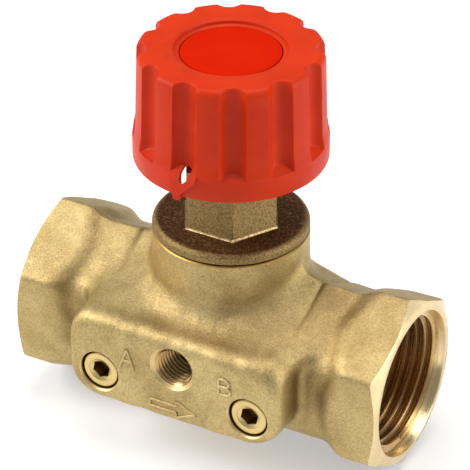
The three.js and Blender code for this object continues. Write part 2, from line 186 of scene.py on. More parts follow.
def hexagon(flat, turned_by=0.0):
    """Corners of a hexagon from its distance between centre and flat. Unturned, one points along +X."""
    corner = flat / math.cos(math.pi / 6)
    turns = [turned_by + k * math.pi / 3 for k in range(6)]
    return [(corner * math.cos(t), corner * math.sin(t)) for t in turns]


def thread_tool(name, size, low, high, material, fade, sides, along, centre=(0, 0, 0)):
    """The solid that a tap cuts out between two heights. Its thread grows over the lowest fade mm."""
    count = len(THREAD_FORM)
    minor, depth, pitch = size["minor"], size["major"] - size["minor"], size["pitch"]
    last = int((high - low) / pitch) * count
    points = []
    for k in range(last + 1):
        phase, share_of_depth = THREAD_FORM[k % count]
        for i in range(sides):
            turn = 2 * math.pi * i / sides
            z = low + (k // count + phase + i / sides) * pitch
            grown = min(1.0, (z - low) / fade)
            radius = minor + depth * share_of_depth * grown
            points.append((radius * math.cos(turn), radius * math.sin(turn), z))

    def at(i, k):
        return k * sides + i if i < sides else (k + count) * sides

    faces = [
        (at(i, k), at(i + 1, k), at(i + 1, k + 1), at(i, k + 1))
        for k in range(last)
        for i in range(sides)
        if i + 1 < sides or k + 1 + count <= last
    ]
    bottom = [at(i, 0) for i in range(sides + 1)] + [at(0, k) for k in range(count - 1, 0, -1)]
    top = [at(i, last) for i in range(sides)] + [at(sides - 1, last - k) for k in range(1, count + 1)]
    for loop, height in ((bottom, low), (top, high)):
        points.append((0, 0, height))
        faces += [(len(points) - 1, a, b) for a, b in zip(loop, loop[1:] + loop[:1])]
    return mesh_object(name, placed(points, along, centre), faces, material, 20.0)


# ---- Solids from distance fields ----
def smooth_max(a, b, radius):
    """The larger of two fields, with the edge between them rounded over about radius."""
    blend = np.maximum(radius - np.abs(a - b), 0.0) / radius
    return np.maximum(a, b) + blend * blend * radius * 0.25


def smooth_min(a, b, radius):
    """The smaller of two fields, with the corner between them filled over about radius."""
    return -smooth_max(-a, -b, radius)


def share(value, start, length):
    """How far value has gone from start over length, from 0 to 1."""
    return np.clip((value - start) / length, 0.0, 1.0)


def surface_net(field, low, high, step):
    """Points and quads of the surface field(x, y, z) = 0 inside a box, moved onto the surface."""
    axes = [np.arange(a, b + step, step) for a, b in zip(low, high)]
    values = field(*np.meshgrid(*axes, indexing="ij"))
    inside = values < 0
    cells = tuple(n - 1 for n in values.shape)
    corners = [(i, j, k) for i in (0, 1) for j in (0, 1) for k in (0, 1)]

    def window(grid, offset):
        return grid[tuple(slice(o, o + n) for o, n in zip(offset, cells))]

    filled = sum(window(inside, c).astype(np.int8) for c in corners)
    active = np.argwhere((filled > 0) & (filled < 8))
    index = np.full(cells, -1)
    index[tuple(active.T)] = np.arange(len(active))
    total = np.zeros((len(active), 3))
    crossings = np.zeros(len(active))
    for axis in range(3):
        along = np.eye(3, dtype=int)[axis]
        for corner in corners:
            if corner[axis]:
                continue
            start = active + corner
            a, b = values[tuple(start.T)], values[tuple((start + along).T)]
            hit = (a < 0) != (b < 0)
            part = np.where(hit, a / np.where(hit, a - b, 1.0), 0.0)
            total += np.where(hit[:, None], start + part[:, None] * along, 0.0)
            crossings += hit
    points = np.asarray(low) + total / crossings[:, None] * step
    for _ in range(3):
        points = points - offset_to_surface(field, points, step)
    faces = []
    for axis in range(3):
        near, far = [slice(None)] * 3, [slice(None)] * 3
        near[axis], far[axis] = slice(None, -1), slice(1, None)
        out = inside[tuple(near)]
        edges = np.argwhere(out != inside[tuple(far)])
        out = out[tuple(edges.T)]
        side, up = np.eye(3, dtype=int)[(axis + 1) % 3], np.eye(3, dtype=int)[(axis + 2) % 3]
        ring = [index[tuple((edges - shift).T)] for shift in (side + up, up, 0 * up, side)]
        quads = np.stack(ring, -1)
        faces.append(np.where(out[:, None], quads, quads[:, ::-1]))
    return points, np.concatenate(faces)


def offset_to_surface(field, points, step):
    """How far each point stands off the field's surface, as a vector no longer than half a step."""
    reach = step * 0.1
    value = field(*points.T)
    slopes = [
        (field(*(points + shift).T) - field(*(points - shift).T)) / (2 * reach)
        for shift in np.eye(3) * reach
    ]
    slope = np.stack(slopes, -1)
    steepness = np.maximum((slope * slope).sum(-1), 0.05)
    move = slope * (value / steepness)[:, None]
    size = np.linalg.norm(move, axis=-1, keepdims=True)
    return move * np.minimum(1.0, 0.5 * step / np.maximum(size, 1e-9))


# ---- Node helpers ----
def new_material(name):
    """A new material with its node tree and its shader."""
    material = bpy.data.materials.new(name)
    material.use_nodes = True
    return material, material.node_tree, material.node_tree.nodes["Principled BSDF"]


def add(tree, kind, links=None, **settings):
    """A node with its settings. links maps an input to a value or to another node's output."""
    node = tree.nodes.new("ShaderNode" + kind)
    for key, value in settings.items():
        setattr(node, key, value)
    for key, value in (links or {}).items():
        if isinstance(value, bpy.types.NodeSocket):
            tree.links.new(value, node.inputs[key])
        else:
            node.inputs[key].default_value = value
    return node


def noise(tree, size_mm, detail=3.0, roughness=0.55):
    """Noise with features of about that size in millimetres."""
    point = add(tree, "TexCoord").outputs["Object"]
    links = {"Vector": point, "Scale": 1.0 / (size_mm * MM), "Detail": detail, "Roughness": roughness}
    return add(tree, "TexNoise", links).outputs["Fac"]


def ramp(tree, value, stops):
    """A colour ramp from (position, colour) pairs. A colour may be one grey number."""
    node = add(tree, "ValToRGB", {"Fac": value})
    elements = node.color_ramp.elements
    while len(elements) < len(stops):
        elements.new(0.5)
    for element, (position, colour) in zip(elements, stops):
        element.position = position
        element.color = (*colour, 1) if isinstance(colour, tuple) else (colour,) * 3 + (1,)
    return node.outputs["Color"]


def mix(tree, factor, a, b, blend="MIX"):
    """Two colours mixed. Inputs 0, 6 and 7 of a Mix node are its factor and its two colours."""
    node = add(tree, "Mix", data_type="RGBA", blend_type=blend)
    for key, value in ((0, factor), (6, a), (7, b)):
        if isinstance(value, bpy.types.NodeSocket):
            tree.links.new(value, node.inputs[key])
        else:
            node.inputs[key].default_value = (*value, 1) if isinstance(value, tuple) else value
    return node.outputs[2]


def bump(tree, height, depth_mm, below=None):
    """Bumps that deep, on top of those below."""
    links = {"Height": height, "Distance": depth_mm * MM, "Strength": 1.0}
    if below:
        links["Normal"] = below
    return add(tree, "Bump", links).outputs["Normal"]


def painted_hollow_shade(tree, reach_mm, stops):
    """Grey from how much the surface is hemmed in within that reach. It paints shade into recesses and
    corners, where grime and patina also gather.
    """
    occlusion = add(tree, "AmbientOcclusion", {"Distance": reach_mm * MM}, samples=8)
    return ramp(tree, occlusion.outputs["AO"], stops)


def dress(tree, shader, colour, roughness, normal, metallic=0.0):
    """Links the shader's colour, roughness and normal, and sets how metallic it is."""
    tree.links.new(colour, shader.inputs["Base Color"])
    tree.links.new(roughness, shader.inputs["Roughness"])
    tree.links.new(normal, shader.inputs["Normal"])
    shader.inputs["Metallic"].default_value = metallic


# ---- Materials ----
def forged_brass(name, low, high, tarnish_and_shade=None):
    """Shot-blasted forging: a fine grain, cloudy colour and, with tarnish_and_shade, brown patina and
    painted shade in its recesses.
    """
    material, tree, shader = new_material(name)
    clouds = ramp(tree, noise(tree, 9.0, 4.0), [(0.36, low), (0.62, high)])
    grain = noise(tree, 0.36, 3.0, 0.75)
    speckle = ramp(tree, grain, [(0.32, 0.35), (0.62, 1.0)])
    colour = mix(tree, 0.58, clouds, speckle, "MULTIPLY")
    if tarnish_and_shade:
        # painted shade in the recesses, in the brown of the forging's patina
        hollow_shade = painted_hollow_shade(tree, 8.0, [(0.32, 1.0), (0.93, 0.0)])
        colour = mix(tree, hollow_shade, colour, tarnish_and_shade)
    roughness = ramp(tree, noise(tree, 2.5, 3.0), [(0.3, 0.47), (0.7, 0.60)])
    waves = bump(tree, noise(tree, 4.0, 1.0), 0.07)
    pits = bump(tree, noise(tree, 1.0, 2.0), 0.045, below=waves)
    normal = bump(tree, grain, 0.10, below=pits)
    dress(tree, shader, colour, roughness, normal, metallic=1.0)
    return material


def scraped_brass():
    """The bright line along the foot of the bonnet's hexagon."""
    material, tree, shader = new_material("scraped_brass")
    colour = ramp(tree, noise(tree, 0.5, 3.0), [(0.35, (0.28, 0.20, 0.08)), (0.6, (0.66, 0.50, 0.25))])
    roughness = ramp(tree, noise(tree, 0.8, 2.0), [(0.3, 0.35), (0.7, 0.5)])
    normal = bump(tree, noise(tree, 0.4, 2.0), 0.05)
    dress(tree, shader, colour, roughness, normal, metallic=1.0)
    return material


BRIGHT, BROWN = (0.80, 0.61, 0.30), (0.16, 0.07, 0.015)  # cut brass, and the brown of grime and painted shade in its corners


def turned_brass(name, axis, centre=(0.0, 0.0, 0.0), colour=BRIGHT, dirt_and_shade=BROWN, dull=0.22):
    """Cut brass with fine tool rings around one axis, darkened with grime and painted shade where the
    light doesn't reach.
    """
    material, tree, shader = new_material(name)
    point = add(tree, "TexCoord").outputs["Object"]
    moved = add(tree, "Mapping", {"Vector": point, "Location": [-c * MM for c in centre]})
    rings = add(
        tree,
        "TexWave",
        {"Vector": moved.outputs["Vector"], "Scale": 0.9 / MM, "Distortion": 1.2, "Detail": 3.0},
        wave_type="RINGS",
        rings_direction=axis,
    ).outputs["Fac"]
    darker = tuple(0.88 * c for c in colour)
    tint = ramp(tree, noise(tree, 3.0, 3.0), [(0.35, darker), (0.7, colour)])
    # painted shade, with grime, where the surface is hemmed in
    hollow_shade = painted_hollow_shade(tree, 5.0, [(0.12, 1.0), (0.7, 0.0)])
    roughness = ramp(tree, rings, [(0.2, dull), (0.8, dull + 0.1)])
    grooves = bump(tree, rings, 0.006)
    normal = bump(tree, noise(tree, 0.9, 3.0), 0.01, below=grooves)
    dress(tree, shader, mix(tree, hollow_shade, tint, dirt_and_shade), roughness, normal, metallic=1.0)
    return material


def dark_brass():
    """The bonnet's forging skin, darkened overall partly as its own colour and partly as painted shade,
    with a brown oxide on its flat top.
    """
    material, tree, shader = new_material("dark_brass")
    grain = noise(tree, 0.32, 3.0, 0.7)
    # these dark browns are partly the skin's colour and partly painted shade
    brass = ramp(tree, grain, [(0.34, (0.14, 0.088, 0.032)), (0.64, (0.42, 0.29, 0.12))])
    facing = add(tree, "NewGeometry").outputs["Normal"]
    up = add(tree, "SeparateXYZ", {"Vector": facing}).outputs["Z"]
    flat = ramp(tree, up, [(0.9, 0.0), (0.99, 1.0)])
    browns = [(0.36, (0.12, 0.058, 0.022)), (0.56, (0.22, 0.118, 0.046)), (0.70, (0.50, 0.34, 0.15))]
    oxide = ramp(tree, noise(tree, 0.45, 4.0), browns)
    roughness = ramp(tree, grain, [(0.3, 0.5), (0.7, 0.66)])
    pits = bump(tree, noise(tree, 1.1, 2.0), 0.1)
    normal = bump(tree, grain, 0.09, below=pits)
    dress(tree, shader, mix(tree, flat, brass, oxide), roughness, normal, metallic=1.0)
    return material


def moulded_plastic(name, deep, light, dull, shine):
    """Moulded plastic with a faint texture and slightly cloudy colour."""
    material, tree, shader = new_material(name)
    colour = ramp(tree, noise(tree, 7.0, 2.0), [(0.35, deep), (0.65, light)])
    roughness = ramp(tree, noise(tree, 1.6, 4.0), [(0.3, dull), (0.75, dull + 0.1)])
    sink = bump(tree, noise(tree, 9.0, 1.0), 0.06)
    normal = bump(tree, noise(tree, 0.16, 2.0), 0.004, below=sink)
    dress(tree, shader, colour, roughness, normal)
    shader.inputs["Subsurface Weight"].default_value = 0.12
    shader.inputs["Subsurface Radius"].default_value = (0.0012, 0.0003, 0.0002)
    shader.inputs["Subsurface Scale"].default_value = 1.0
    shader.inputs["Specular IOR Level"].default_value = shine
    return material


def plated_steel():
    """Bright zinc plating."""
    material, tree, shader = new_material("plated_steel")
    greys = [(0.35, (0.50, 0.50, 0.50)), (0.65, (0.64, 0.63, 0.60))]
    colour = ramp(tree, noise(tree, 1.5, 3.0), greys)
    roughness = ramp(tree, noise(tree, 0.5, 2.0), [(0.3, 0.25), (0.7, 0.4)])
    normal = bump(tree, noise(tree, 0.4, 2.0), 0.01)
    dress(tree, shader, colour, roughness, normal, metallic=1.0)
    return material


def soft_seal(name, dark, light, dull):
    """Rubber, or the waxy plastic of the seat washer."""
    material, tree, shader = new_material(name)
    colour = ramp(tree, noise(tree, 1.0, 3.0), [(0.3, dark), (0.7, light)])
    roughness = ramp(tree, noise(tree, 0.5, 2.0), [(0.3, dull), (0.7, dull + 0.15)])
    dress(tree, shader, colour, roughness, bump(tree, noise(tree, 0.3, 2.0), 0.01))
    return material


# FORGED: its dark brown is patina and painted shade in the recesses.
FORGED = forged_brass(
    "forged_brass", low=(0.52, 0.380, 0.157), high=(0.66, 0.505, 0.228), tarnish_and_shade=(0.13, 0.072, 0.022)
)
# A lighter copy of the forged brass without shade in its recesses: a painted highlight on the raised
# letters and arrow.
MARKS_PAINTED_HIGHLIGHT = forged_brass("marks_brass_painted_highlight", low=(0.62, 0.46, 0.20), high=(0.78, 0.61, 0.30))
DARK = dark_brass()
SCRAPED = scraped_brass()
# The dirt_and_shade colours below are grime and painted shade in each finish's corners.
FACED = turned_brass("faced_brass", "X", colour=(0.82, 0.64, 0.35))
THREADED = turned_brass(
    "threaded_brass", "X", colour=(0.66, 0.42, 0.18), dirt_and_shade=(0.27, 0.125, 0.035), dull=0.27
)
SPINDLE_TURNED = turned_brass("turned_brass", "Z")
SEAM = turned_brass("seam_brass", "Z", colour=(0.60, 0.38, 0.11), dirt_and_shade=(0.12, 0.05, 0.01), dull=0.4)
BORED = turned_brass(
    "bored_brass", "Y", TAPPING_CENTRE, colour=(0.58, 0.38, 0.16), dirt_and_shade=(0.08, 0.03, 0.005), dull=0.25
)
TAPPING_FACED = turned_brass("tapping_brass", "Y", TAPPING_CENTRE, dirt_and_shade=(0.30, 0.17, 0.05), dull=0.46)
RED = moulded_plastic(
    "red_plastic", deep=(0.53, 0.025, 0.001), light=(0.59, 0.032, 0.002), dull=0.40, shine=0.15
)
BRIGHT_RED = moulded_plastic(
    "bright_red_plastic", deep=(0.53, 0.010, 0.0), light=(0.56, 0.012, 0.0), dull=0.30, shine=0.02
)
STEEL = plated_steel()
RUBBER = soft_seal("rubber", dark=(0.012, 0.012, 0.014), light=(0.03, 0.03, 0.032), dull=0.6)
PTFE = soft_seal("ptfe", dark=(0.78, 0.77, 0.72), light=(0.88, 0.87, 0.84), dull=0.4)


# ---- Valve body ----
def hexagon_field(y, z, flat, ridge, corner):
    """Across the pipe: a hexagon with corners up and down.

    Those two are the sharp ridges of the forging's parting line, and the other four are rounded.
    """
    side = np.sqrt(y * y + ridge * ridge)
    height = np.sqrt(z * z + 0.01)
    slant = COS_60 * side + SIN_60 * height - flat
    return smooth_max(slant, side - flat, corner)


def collar_field(x, y, z):
    """The hexagon collar of either end, with its 45 degree inner shoulder."""
    across = hexagon_field(y, z, COLLAR_FLAT, ridge=0.3, corner=0.95)
    shoulder = (np.hypot(y, z) - COLLAR_FLAT - (np.abs(x) - SHOULDER)) / math.sqrt(2)
    return np.maximum(smooth_max(across, shoulder, 1.3), np.abs(x) - FORGED_END)


def waist_field(x, y, z):
    """The hexagon between the collars. Above a crease on either side it swells towards the neck."""
    out = np.abs(x)
    across = hexagon_field(y, z, WAIST_FLAT, ridge=0.25, corner=3.0)
    side = np.sqrt(y * y + 0.06)
    swell = SWELL_SLOPE * (CREASE - out)
    wedge = COS_60 * side + SIN_60 * z - WAIST_FLAT - swell
    wedge = smooth_max(wedge, side - WAIST_FLAT, 3.0)
    wedge = smooth_max(wedge, SWELL_LOW - z, 2.0)
    near_crease = np.exp(-(((out - CREASE) / CREASE_WIDTH) ** 2))
    crease = CREASE_HEIGHT * near_crease * np.clip(z / 6 - 1.0, 0.0, 1.0)
    waist = np.minimum(across, np.maximum(wedge, out - CREASE)) + crease
    return np.maximum(waist, out - WAIST_END)


def boss_field(x, y, z):
    """The front boss: a block with round corners, a top that rises backwards and a rounded front rim."""
    half, low = BOSS["half"], BOSS["low"]
    top = BOSS["top"] + BOSS_SLOPE * (y - BOSS["face"])
    lumps = 0.08 * np.sin(x * 1.31) * np.sin(x * 0.47 + 1.0)
    lumps = lumps + 0.03 * np.sin(x * 2.9 + y) * np.sin(x * 0.9)
    u, v = np.abs(x), z - (low + top) / 2
    corner = np.where(v < 0, BOSS["low_round"], BOSS["top_round"])
    du = u - half + corner
    dv = np.abs(v) - (top - low) / 2 + corner - np.where(v < 0, 0.0, lumps)
    outline = np.hypot(np.maximum(du, 0), np.maximum(dv, 0)) + np.minimum(np.maximum(du, dv), 0) - corner
    rounding = 1.1 + 1.8 * share(z, 5.5, 3.0) + 1.4 * share(x, 14.0, 5.0)
    return smooth_max(smooth_max(outline, BOSS["face"] - y, rounding), y, 0.5)


def hollow_field(x, y, z):
    """The cored waterway: the inlet runs under the seat web and the outlet over it."""
    tube = np.hypot(y, z) - GALLERY_RADIUS
    under = smooth_max(z - WEB_LOW, x - GALLERY_RADIUS, 1.5)
    over = smooth_max(WEB_TOP - z, -GALLERY_RADIUS - x, 1.5)
    inlet = smooth_max(tube, smooth_min(x + WEB_END, under, 1.5), 1.0)
    outlet = smooth_max(tube, smooth_min(WEB_END - x, over, 1.5), 1.0)
    neck = smooth_max(np.hypot(x, y) - NECK_BORE, WEB_TOP - z, 1.0)
    return smooth_min(np.minimum(inlet, outlet), neck, 1.0)


def body_field(x, y, z):
    """The forging with its cored waterway, before any machining."""
    solid = smooth_min(collar_field(x, y, z), waist_field(x, y, z), WAIST_BLEND)
    neck = np.maximum(np.hypot(x, y) - NECK_RADIUS, np.abs(z - NECK_MIDDLE) - NECK_HALF)
    solid = smooth_min(solid, neck, NECK_BLEND)
    solid = smooth_min(solid, boss_field(x, y, z), BOSS_BLEND + 2.6 * share(z, 6.0, 3.0))
    uneven = UNEVENNESS * np.sin(x * 0.83 + z * 0.4) * np.sin(y * 0.71 - x * 0.2)
    uneven = uneven * np.sin(z * 0.77 + 1.3)
    ring = np.maximum(np.hypot(x, y) - SEAT_RIM, np.abs(z - SEAT_MIDDLE) - SEAT_HALF)
    return np.minimum(smooth_max(solid + uneven, -hollow_field(x, y, z), 0.8), ring)


def end_envelope():
    """What facing and chamfering leave of both ends."""
    half = [(14.8, HALF_LENGTH), (COLLAR_FLAT, 37.2), (COLLAR_CORNER + 0.4, 35.86), (30.0, 35.5)]
    mirrored = [(radius, -height) for radius, height in half]
    profile = [(0, -HALF_LENGTH)] + mirrored + half[::-1] + [(0, HALF_LENGTH)]
    return lathe("envelope", profile, FACED, sides=240, angle=15, along="X")


def neck_tool():
    """Bores the neck, the bonnet ring's seat and the seat hole, and faces the neck."""
    low, seat, high = WEB_LOW - 3, SEAT_TOP + 0.1, NECK_TOP + 3
    ledge, chamfer = NECK_TOP - SEAL_DEPTH, NECK_TOP - 0.5
    profile = [
        (0, low),
        (SEAT_HOLE, low),
        (SEAT_HOLE, seat),
        (NECK_BORE, seat),
        (NECK_BORE, ledge),
        (SEAL_SEAT, ledge),
        (SEAL_SEAT, NECK_TOP),
        (NECK_RADIUS - 0.35, NECK_TOP),
        (NECK_RADIUS + 0.4, chamfer),
        (30, chamfer),
        (30, high),
        (0, high),
    ]
    return lathe("neck_tool", profile, SEAM)


def socket_tools(along):
    """A threaded pipe socket: its bore, its counterbore and its thread."""
    minor, wide = SOCKET["minor"] - 0.01, SOCKET["mouth"]
    mouth = HALF_LENGTH - SOCKET["step"]
    end = HALF_LENGTH - SOCKET["depth"]
    bore = [
        (0, end),
        (SOCKET["minor"] - 0.4, end),
        (minor, end + 0.4),
        (minor, mouth - 1.0),
        (SOCKET["minor"] + 0.35, mouth + 0.01),
        (0, mouth + 0.01),
    ]
    counterbore = [
        (0, mouth),
        (wide - 0.26, mouth),
        (wide - 0.2, mouth + 0.25),
        (wide + 0.27, HALF_LENGTH - 0.1),
        (wide + 0.38, HALF_LENGTH),
        (wide + 0.38, HALF_LENGTH + 1),
        (0, HALF_LENGTH + 1),
    ]
    return [
        lathe("bore", bore, THREADED, sides=180, along=along),
        lathe("counterbore", counterbore, FACED, sides=180, along=along),
        thread_tool(
            "thread", SOCKET, end + 1.2, mouth + 0.9, THREADED, fade=2.5, sides=180, along=along
        ),
    ]


def tapping_tools():
    """The threaded tapping in the middle of the boss, with its countersink."""
    front = -BOSS["face"]
    minor, mouth, pitch = TAPPING["minor"] - 0.01, TAPPING["mouth"], TAPPING["pitch"]
    tapping = [
        (0, front - TAPPING["depth"] - 1.4),
        (minor, front - TAPPING["depth"]),
        (minor, front - 1.15),
        (mouth - 0.66, front - 0.54),
        (0, front - 0.54),
    ]
    countersink = [
        (0, front - 0.55),
        (mouth - 0.68, front - 0.55),
        (mouth - 0.1, front - 0.1),
        (mouth, front + 0.02),
        (mouth + 0.1, front + 1),
        (0, front + 1),
    ]
    place = {"sides": 96, "along": "-Y", "centre": TAPPING_CENTRE}
    low = front - 0.55 - 8 * pitch
    high = low + 7 * pitch + 0.01
    return [
        lathe("tapping", tapping, BORED, **place),
        lathe("countersink", countersink, TAPPING_FACED, **place),
        thread_tool("tap", TAPPING, low, high, BORED, fade=1.0, **place),
    ]


def plug_hole_tool(side):
    """The hole of one screw plug, down to its narrow impulse way."""
    front, hole = -BOSS["face"], PLUG["hole"]
    profile = [
        (0, 8),
        (1.5, 8),
        (1.5, 13.4),
        (hole, 14.6),
        (hole, front - 0.36),
        (hole + 0.1, front - 0.2),
        (hole + 0.3, front + 0.02),
        (hole + 0.3, front + 1),
        (0, front + 1),
    ]
    centre = (side * PLUG["x"], 0, PLUG["z"])
    return lathe("hole", profile, TAPPING_FACED, sides=96, along="-Y", centre=centre)


def stroke(path, width, height, y):
    """A raised line with a round back along [x, z] points on a face that looks along -Y."""
    curve = bpy.data.curves.new("stroke", "CURVE")
    curve.dimensions = "3D"
    curve.bevel_depth = width / 2 * MM
    curve.bevel_resolution = 3
    curve.use_fill_caps = True
    spline = curve.splines.new("POLY")
    spline.points.add(len(path) - 1)
    for point, (x, z) in zip(spline.points, path):
        point.co = (x * MM, (y + width / 2 - height) * MM, z * MM, 1)
    holder = bpy.data.objects.new("stroke", curve)
    bpy.context.scene.collection.objects.link(holder)
    graph = bpy.context.evaluated_depsgraph_get()
    mesh = bpy.data.meshes.new_from_object(holder.evaluated_get(graph), depsgraph=graph)
    bpy.data.objects.remove(holder)
    mesh.materials.clear()
    # the marks' lighter brass is a painted highlight
    mesh.materials.append(MARKS_PAINTED_HIGHLIGHT)
    work = bmesh.new()
    work.from_mesh(mesh)
    bmesh.ops.remove_doubles(work, verts=work.verts, dist=1e-7)
    bmesh.ops.recalc_face_normals(work, faces=work.faces)
    work.to_mesh(mesh)
    work.free()
    obj = bpy.data.objects.new("stroke", mesh)
    bpy.context.scene.collection.objects.link(obj)
    return obj


def arc(centre, radius, start, end, count=8):
    """Points on an arc between two angles in degrees."""
    angles = np.radians(np.linspace(start, end, count))
    return [(centre[0] + radius * math.cos(a), centre[1] + radius * math.sin(a)) for a in angles]


def raised_marks():
    """The letters A and B of the two test points and the arrow of the flow direction."""
    letter_a = [[(-10.9, 1.3), (-9.4, 5.3)], [(-9.4, 5.3), (-7.9, 1.3)], [(-10.3, 2.85), (-8.5, 2.85)]]
    upper = [(9.6, 5.5), (10.8, 5.5)] + arc((10.9, 4.7), 0.8, 90, -90) + [(9.6, 3.9)]
    lower = [(9.6, 3.9), (11.0, 3.9)] + arc((11.1, 3.05), 0.85, 90, -90) + [(9.6, 2.2)]
    letter_b = [[(9.6, 2.2), (9.6, 5.5)], upper, lower]
    shaft = [[(-4.7, -3.7), (0.8, -3.7)], [(-4.7, -5.1), (0.8, -5.1)], [(-4.7, -3.7), (-4.7, -5.1)]]
    tip = [(0.8, -3.7), (0.8, -2.6), (4.9, -4.3), (0.8, -6.2), (0.8, -5.1)]
    return letter_a + letter_b + shaft + list(zip(tip, tip[1:]))


def valve_body():
    """The forging, then every cut in it, then the raised marks."""
    step = 0.4
    low, high = (-38.6, -23.2, -19.2), (38.6, 16.8, 24.4)
    points, faces = surface_net(body_field, low, high, step)
    body = mesh_object("valve_body_forging", points, faces.tolist(), FORGED, outward=False)
    boolean(body, end_envelope(), "INTERSECT")
    boolean(body, neck_tool())
    for along in ("X", "-X"):
        for tool in socket_tools(along):
            boolean(body, tool)
    for tool in tapping_tools():
        boolean(body, tool)
    for side in (-1, 1):
        boolean(body, plug_hole_tool(side))
    for path in raised_marks():
        boolean(body, stroke(path, MARK_WIDTH, MARK_HEIGHT, BOSS["face"]), "UNION")
    shade(body, 28)
    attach(body, "housing")
    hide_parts("valve_body")


# ---- Bonnet ----
def bevelled(obj, width):
    """Rounds the edges of obj for good."""
    bevel = obj.modifiers.new("bevel", "BEVEL")
    bevel.width = width * MM
    bevel.segments = 3
    graph = bpy.context.evaluated_depsgraph_get()
    obj.data = bpy.data.meshes.new_from_object(obj.evaluated_get(graph), depsgraph=graph)
    obj.modifiers.clear()


def bonnet():
    """The screwed-in bonnet: a round flange with a rolled rim under a hexagon."""
    floor = FLANGE_TOP - 0.12
    profile = [
        (STEM_HOLE, 17.5),
        (7, 17.5),
        (7, 12),
        (10.9, 12),
        (10.9, FLANGE_LOW),
        (NECK_RADIUS - 0.25, FLANGE_LOW),
        (NECK_RADIUS, FLANGE_LOW + 0.25),
        *arc((NECK_RADIUS - FLANGE_ROUND, FLANGE_TOP - FLANGE_ROUND), FLANGE_ROUND, 0, 90),
        (NECK_RADIUS - 2.2, floor),
        (STEM_HOLE, floor),
    ]
    flange = lathe("bonnet_flange", profile, DARK, sides=160)
    foot = [
        (floor - 1, hexagon(BONNET_FLAT + 0.3)),
        (floor, hexagon(BONNET_FLAT + 0.3)),
        (floor + 0.3, hexagon(BONNET_FLAT)),
        (floor + 0.5, hexagon(BONNET_FLAT - 0.1)),
    ]
    boolean(flange, loft("foot", foot, SCRAPED), "UNION")
    crown = prism("crown", hexagon(BONNET_FLAT), floor - 0.5, BONNET_TOP, DARK)
    bevelled(crown, 0.28)
    cone = [
        (0, floor - 0.8),
        (20, floor - 0.8),
        (20, BONNET_TOP - 6.0),
        (BONNET_FLAT + 0.2, BONNET_TOP + 0.1),
        (0, BONNET_TOP + 0.1),
    ]
    boolean(crown, lathe("cone", cone, SPINDLE_TURNED), "INTERSECT")
    boolean(flange, crown, "UNION")
    well = [(0, 10), (STEM_HOLE, 10), (STEM_HOLE, 28), (GLAND_HOLE, 28), (GLAND_HOLE, 39), (0, 39)]
    boolean(flange, lathe("well", well, SPINDLE_TURNED))
    shade(flange, 32)
    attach(flange, "housing")
    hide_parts("bonnet")


# ---- Knob ----
def land_radius(z):
    """Radius of the lands between the flutes: tapered, and eased out to the skirt below."""
    height = (z - SKIRT_TOP) / (KNOB["top"] - SKIRT_TOP)
    ease = min(max((SKIRT_TOP + SKIRT_BLEND - z) / SKIRT_BLEND, 0.0), 1.0)
    ease = ease * ease * (3 - 2 * ease)
    tapered = KNOB["land"] + (KNOB["rim"] - KNOB["land"]) * height
    return tapered + (KNOB["skirt"] - KNOB["land"]) * ease


def knob_side(turn, z):
    """Radius of the knob's side, with its flutes and rounded rim, at an angle from -Y and a height."""
    land = land_radius(z)
    pitch = 2 * math.pi / FLUTES
    offset = (turn + pitch / 2) % pitch - pitch / 2
    centre = land + FLUTE_OUTSET
    reach = FLUTE_RADIUS**2 - (centre * np.sin(offset)) ** 2
    channel = np.where(reach > 0, centre * np.cos(offset) - np.sqrt(np.maximum(reach, 0)), land + 3)
    floor = KNOB["skirt"] - 0.25 - (z - SKIRT_TOP) / math.tan(FLUTE_SLOPE)
    channel = smooth_max(channel, floor, 0.3)
    up_rim = max(z - (KNOB["top"] - RIM_ROUND), 0.0)
    outside = land - RIM_ROUND + math.sqrt(RIM_ROUND**2 - up_rim**2)
    up_notch = max(z - (KNOB["top"] - NOTCH_ROUND), 0.0)
    eased = NOTCH_ROUND - math.sqrt(NOTCH_ROUND**2 - up_notch**2)
    return smooth_min(outside, channel - eased, 0.35)


def knob_profiles():
    """The round parts of the knob's moulding: its recess from the floor up, and its skirt and hollow."""
    top, low, skirt, ceiling = KNOB["top"], KNOB["low"], KNOB["skirt"], KNOB["ceiling"]
    edge, wall = CAP["countersink"], CAP["radius"] + 0.15
    recess = [
        (wall, CAP["low"] - 0.2),
        (wall, CAP["top"] - 0.12),
        (CAP["radius"] + 0.25, CAP["top"] - 0.02),
        (edge - 0.06, CAP["top"] + 0.08),
        (edge, top - 0.45),
        (edge + 0.12, top - 0.3),
        (edge + 0.4, top - 0.2),
        (edge + 1.3, top - 0.04),
        (edge + 1.7, top),
    ]
    inside = [
        (skirt - 0.04, SKIRT_TOP),
        (skirt, SKIRT_TOP - 0.3),
        (skirt, low + 0.35),
        (skirt - 0.1, low + 0.1),
        (skirt - 0.35, low),
        (16.4, low),
        (16.3, 41.4),
        (14.4, 42.8),
        (13.7, ceiling - 0.5),
        (13.2, ceiling),
    ]
    return recess, inside


